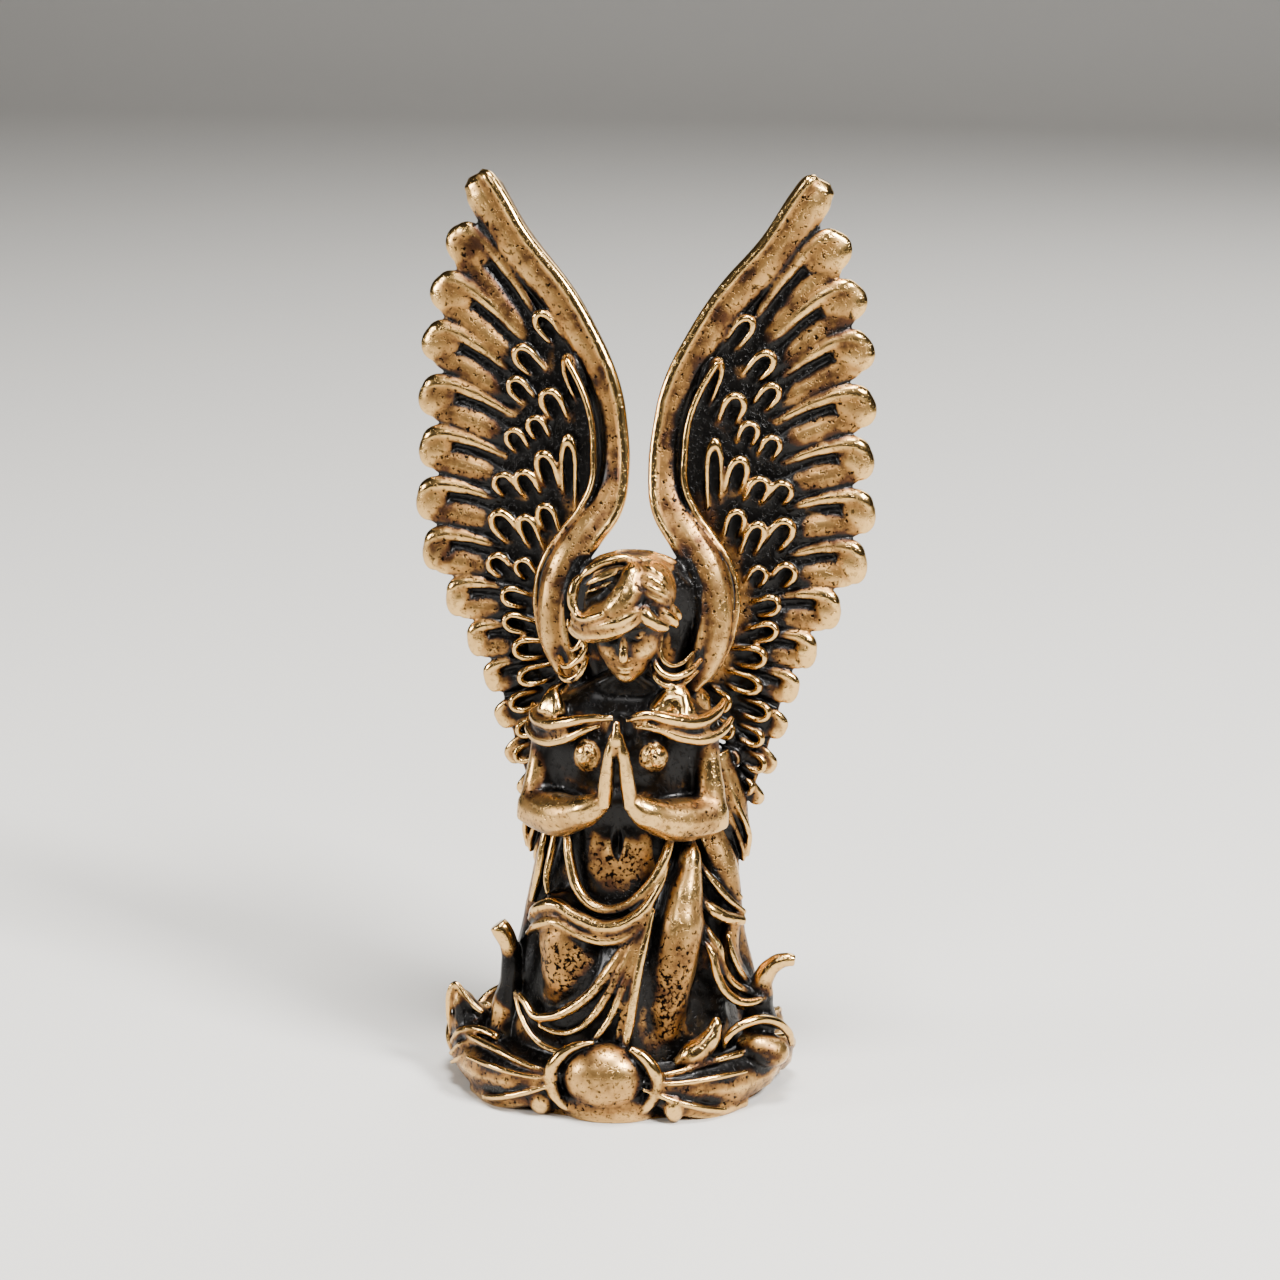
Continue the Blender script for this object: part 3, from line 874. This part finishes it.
# %% Keep the measures on the mesh
DARKENED = [((-0.4, -2.8, 23.4), (3.6, 2.6, 1.5), 0.6), ((2.7, -3.2, 23.2), (1.5, 1.6, 1.2), -0.75),
            ((-4.2, -3.0, 22.9), (0.8, 1.2, 1.0), -0.6), ((-0.2, -2.2, 19.8), (4.3, 2.4, 2.6), 0.8),
            ((-2.1, -4.2, 20.1), (1.1, 0.9, 1.2), -0.8), ((1.7, -4.2, 20.1), (1.1, 0.9, 1.2), -0.8),
            ((-2.6, -3.0, 15.4), (0.7, 1.6, 2.0), 0.6), ((2.1, -3.0, 15.4), (0.7, 1.6, 2.0), 0.6),
            ((-0.3, -3.9, 16.6), (2.3, 1.4, 1.6), 0.5), ((-0.35, -3.6, 15.1), (0.45, 0.8, 1.2), 0.6),
            ((-5.4, -3.0, 7.4), (1.3, 2.4, 3.2), 0.6), ((4.8, -3.6, 5.6), (1.5, 2.0, 2.2), 0.7),
            ((-6.9, -2.2, 6.0), (1.1, 1.3, 2.4), 0.8), ((7.7, -2.4, 5.2), (1.1, 1.3, 1.6), 0.6),
            ((-9.5, -2.0, 3.9), (0.8, 0.9, 1.2), 0.5), ((7.9, -3.9, 3.0), (1.7, 1.3, 0.9), 0.3),
            ((-3.0, -0.7, 28.2), (1.0, 1.4, 3.2), 0.9), ((3.0, -0.7, 28.2), (1.0, 1.4, 3.2), 0.9)]
ROUGHENED = [((-2.1, -4.2, 19.8), (1.3, 1.2, 1.3), 0.8), ((1.7, -4.2, 19.8), (1.3, 1.2, 1.3), 0.8),
             ((-0.1, -4.0, 13.8), (1.9, 1.4, 2.0), 1.0), ((-2.9, -5.4, 8.0), (2.4, 1.6, 2.6), 1.0),
             ((2.8, -5.8, 6.6), (1.8, 1.6, 4.6), 1.0), ((-1.4, -6.6, 6.6), (3.2, 1.2, 3.4), 0.7)]
SPOT_STEEPNESS, FINE_GAIN = 1.6, 2


def by_hand(places, spots):
    """The work by hand at each place, from spots of (place, reach, amount) that fade out to their reach."""
    total = np.zeros(len(places))
    for spot, reach, amount in spots:
        far = np.linalg.norm((places - np.array(spot)) / np.array(reach), axis=1)
        total += amount * np.clip(SPOT_STEEPNESS * (1 - far), 0, 1)
    return total


marks = mesh.attributes.new("wear", "FLOAT_COLOR", "POINT")
colours = np.stack([0.5 + broad - by_hand(places, DARKENED), space, 0.5 + FINE_GAIN * fine,
                    by_hand(places, ROUGHENED)], axis=1)
marks.data.foreach_set("color", np.clip(colours, 0, 1).astype(np.float32).ravel())
print("kept", len(places), "points")

# %% [markdown]
# Back to metres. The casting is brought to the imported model's height about
# the origin on its underside, and its size is then part of its mesh.

# %% Bring it to its real size and place
figure.scale = (metres_per_unit,) * 3
settle(figure)
bpy.ops.object.shade_smooth()
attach(figure, "root")
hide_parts("praying_angel")
print("real size in mm:", [round(s * 1000, 2) for s in figure.dimensions])

# %% [markdown]
# Patinated cast brass
#
# Brass is copper and zinc, and pale gold when polished. The maker dips the
# casting in a blackening bath and then tumbles and buffs it. That leaves
# three finishes: bright worn metal on beads and edges, a brown, slightly
# rough skin with dark pits on broad places, and a glossy near-black in the
# recesses, thin enough to keep some of the metal's shine. One shader holds
# all three, and the relief says which shows.

# %% Colours and a helper for nodes
def linear(code):
    """An sRGB hex colour as linear red, green, blue and alpha."""
    channels = [int(code[i:i + 2], 16) / 255 for i in (1, 3, 5)]
    return [c / 12.92 if c <= 0.04045 else ((c + 0.055) / 1.055) ** 2.4 for c in channels] + [1.0]


brass = bpy.data.materials.new("patinated_cast_brass")
brass.use_nodes = True
tree = brass.node_tree
shader = tree.nodes["Principled BSDF"]


def node(kind, settings=(), *feeds, **named):
    """Adds a node with its settings and with what feeds its inputs, in order or by name. Gives its output."""
    made = tree.nodes.new("ShaderNode" + kind)
    for key, value in dict(settings).items():
        setattr(made, key, value)
    shown = [socket for socket in made.inputs if socket.enabled]
    for socket, value in [*zip(shown, feeds), *((made.inputs[key], value) for key, value in named.items())]:
        if isinstance(value, bpy.types.NodeSocket):
            tree.links.new(value, socket)
        else:
            socket.default_value = value
    return next(socket for socket in made.outputs if socket.enabled)


PLUS, MINUS, TIMES = ({"operation": step} for step in ("ADD", "SUBTRACT", "MULTIPLY"))
EASED, RGBA = {"interpolation_type": "SMOOTHSTEP"}, {"data_type": "RGBA"}
print("the brass starts from", shader.name)

# %% [markdown]
# The pits of the cast skin are about a tenth of a millimetre across, and its
# mottling is about a millimetre. A noise pattern has about two spots in one
# unit, so its scale is one over twice the size. The broad height, the open
# space and the fine height come from the mesh, with the work by hand in them.

# %% The grain of the casting, and what the mesh remembers
PIT_SIZE, PIT_DEPTH, MOTTLE_SIZE = 0.00012, 0.00004, 0.0009
where = node("TexCoord").node.outputs["Object"]
pits = node("TexNoise", Vector=where, Scale=1 / PIT_SIZE / 2, Detail=3.0, Roughness=0.6)
mottle = node("TexNoise", Vector=where, Scale=1 / MOTTLE_SIZE / 2, Detail=4.0, Roughness=0.65)
wear = node("Attribute", {"attribute_name": "wear"})
roughened = wear.node.outputs["Alpha"]
broad_height, open_share, fine_height = node("SeparateColor", (), wear).node.outputs
print("pits of", PIT_SIZE * 1000, "mm and mottling of", MOTTLE_SIZE * 1000, "mm")

# %% How far the polish reached, and where the pits are left
UNEVEN, CRISP = 0.28, 0.8
POLISHED_AT, REACHED_HIGH, REACHED_OPEN = (0.55, 0.76), (0.38, 0.5), (0.32, 0.62)
PITS_FROM, PITS_FADE = 0.54, 0.1
uneven = node("Math", TIMES, node("Math", MINUS, mottle, 0.5), UNEVEN)
high = node("Math", PLUS, broad_height, uneven)
crisp = node("Math", TIMES, node("Math", MINUS, fine_height, 0.5), CRISP)
rubbed = node("Math", MINUS, node("Math", PLUS, high, crisp), node("Math", TIMES, roughened, 0.1))
polish = node("MapRange", EASED, rubbed, *POLISHED_AT)
open_enough = node("MapRange", EASED, open_share, *REACHED_OPEN)
reached = node("Math", TIMES, node("MapRange", EASED, high, *REACHED_HIGH), open_enough)
pits_lost = node("Math", MINUS, 0.75, node("Math", TIMES, roughened, 0.55))
pit_room = node("Math", MINUS, 1.0, node("Math", TIMES, polish, pits_lost))
pit_start = node("Math", MINUS, PITS_FROM, node("Math", TIMES, roughened, 0.07))
pitted_here = node("MapRange", EASED, pits, pit_start, node("Math", PLUS, pit_start, PITS_FADE))
pit_share = node("Math", TIMES, pitted_here, pit_room)
print("polish shows from", POLISHED_AT[0], "and is full at", POLISHED_AT[1])

# %% Colour, gloss and depth of the pits
POLISHED, TARNISHED, BROWN, BLACK = "#DEB36E", "#A67A44", "#4A3020", "#090706"
GOLDEN_AT = (0.35, 0.62)
RECESS_ROUGH, SKIN_ROUGH, POLISHED_ROUGH = 0.28, 0.41, 0.17
RECESS_METAL = 0.65
raised = node("Math", PLUS, mottle, node("Math", MINUS, broad_height, 0.52))
golden = node("MapRange", EASED, raised, *GOLDEN_AT)
skin_colour = node("Mix", RGBA, golden, linear(BROWN), linear(TARNISHED))
worn = node("Mix", RGBA, polish, skin_colour, linear(POLISHED))
pitted = node("Mix", RGBA, pit_share, worn, linear(BLACK))
colour = node("Mix", RGBA, reached, linear(BLACK), pitted)
smoothed = node("Math", TIMES, polish, SKIN_ROUGH - POLISHED_ROUGH)
roughness_gained = node("Math", MINUS, SKIN_ROUGH - RECESS_ROUGH, smoothed)
rough = node("Math", PLUS, RECESS_ROUGH, node("Math", TIMES, reached, roughness_gained))
metallic = node("Math", PLUS, RECESS_METAL, node("Math", TIMES, reached, 1 - RECESS_METAL))
sunk = node("Math", MINUS, 0.0, pit_share)
bump = node("Bump", Height=sunk, Strength=0.5, Distance=PIT_DEPTH)
for name, value in {"Base Color": colour, "Roughness": rough, "Metallic": metallic, "Normal": bump}.items():
    tree.links.new(value, shader.inputs[name])
mesh.materials.clear()
mesh.materials.append(brass)
print(len(tree.nodes), "nodes in the brass")

# %% [markdown]
# The stage
#
# The figurine stands on a plain pale floor that rises behind it, so there is
# no hard horizon. Metal only shows what it reflects, so the light comes from
# a few soft panels, with dark gaps between them that give the relief its
# depth.

# %% Floor and light
FLOOR_WIDE, FLOOR_FRONT, FLOOR_BACK, FLOOR_RISE = 1.6, 0.8, 0.55, 0.7
BEND_STEPS, BEND_STEP = 9, 0.035
bpy.ops.object.select_all(action="DESELECT")
bpy.ops.mesh.primitive_plane_add(size=1, location=(0, (FLOOR_BACK - FLOOR_FRONT) / 2, 0))
floor = bpy.context.object
floor.name = "floor"
floor.scale = (FLOOR_WIDE, FLOOR_BACK + FLOOR_FRONT, 1)
settle(floor)
bpy.ops.object.mode_set(mode="EDIT")
bpy.ops.mesh.select_all(action="DESELECT")
bpy.ops.object.mode_set(mode="OBJECT")
for edge in floor.data.edges:
    ends = [floor.data.vertices[i].co.y for i in edge.vertices]
    edge.select = min(ends) > 0
bpy.ops.object.mode_set(mode="EDIT")
bpy.ops.mesh.select_mode(type="EDGE")
for step in range(BEND_STEPS):
    turn = math.pi / 2 * (step + 0.5) / BEND_STEPS
    rise = (0, BEND_STEP * math.cos(turn), BEND_STEP * math.sin(turn))
    bpy.ops.mesh.extrude_region_move(TRANSFORM_OT_translate={"value": rise})
bpy.ops.mesh.extrude_region_move(TRANSFORM_OT_translate={"value": (0, 0, FLOOR_RISE)})
bpy.ops.object.mode_set(mode="OBJECT")
bpy.ops.object.shade_smooth()
paper = bpy.data.materials.new("pale_paper")
paper.use_nodes = True
paper.node_tree.nodes["Principled BSDF"].inputs["Base Color"].default_value = linear("#C9C6C0")
paper.node_tree.nodes["Principled BSDF"].inputs["Roughness"].default_value = 0.9
floor.data.materials.append(paper)

LOOK_AT = Vector((0.00035, 0.0, 0.0259))


def direction(azimuth, elevation):
    """The way out from the figurine at an azimuth round from the front and an elevation, in degrees."""
    a, e = math.radians(azimuth), math.radians(elevation)
    return Vector((math.sin(a) * math.cos(e), -math.cos(a) * math.cos(e), math.sin(e)))


def panel(name, azimuth, elevation, distance, size, power):
    """A soft square lamp that faces the figurine."""
    out = direction(azimuth, elevation)
    bpy.ops.object.light_add(type="AREA", location=LOOK_AT + out * distance)
    lamp = bpy.context.object
    lamp.name = name
    lamp.data.size = size
    lamp.data.energy = power
    lamp.rotation_euler = out.to_track_quat("Z", "Y").to_euler()


LAMPS = [("key", 58, 42, 0.32, 0.08, 3.0), ("top", 20, 80, 0.34, 0.1, 2.4),
         ("left", -68, 16, 0.34, 0.08, 0.9), ("front", -14, 40, 0.45, 0.12, 0.5),
         ("rim", 160, 35, 0.4, 0.2, 0.8)]
for lamp in LAMPS:
    panel(*lamp)
world = bpy.data.worlds.new("studio")
bpy.context.scene.world = world
world.use_nodes = True
world.node_tree.nodes["Background"].inputs["Color"].default_value = linear("#77777B")
world.node_tree.nodes["Background"].inputs["Strength"].default_value = 0.13

# %% [markdown]
# The camera
#
# It stands a hand's length away, a little to the right and a little above,
# with a long lens, which keeps both wings the same size in the picture.

# %% Camera
CAMERA_AZIMUTH, CAMERA_ELEVATION, CAMERA_DISTANCE, CAMERA_LENS = 8.5, 14.0, 0.2008, 100.0
out = direction(CAMERA_AZIMUTH, CAMERA_ELEVATION)
bpy.ops.object.camera_add(location=LOOK_AT + out * CAMERA_DISTANCE,
                          rotation=out.to_track_quat("Z", "Y").to_euler())
camera = bpy.context.object
camera.data.lens = CAMERA_LENS
camera.data.sensor_width = 36.0
camera.data.clip_start = 0.005
bpy.context.scene.camera = camera
print("camera at", [round(c, 4) for c in camera.location])
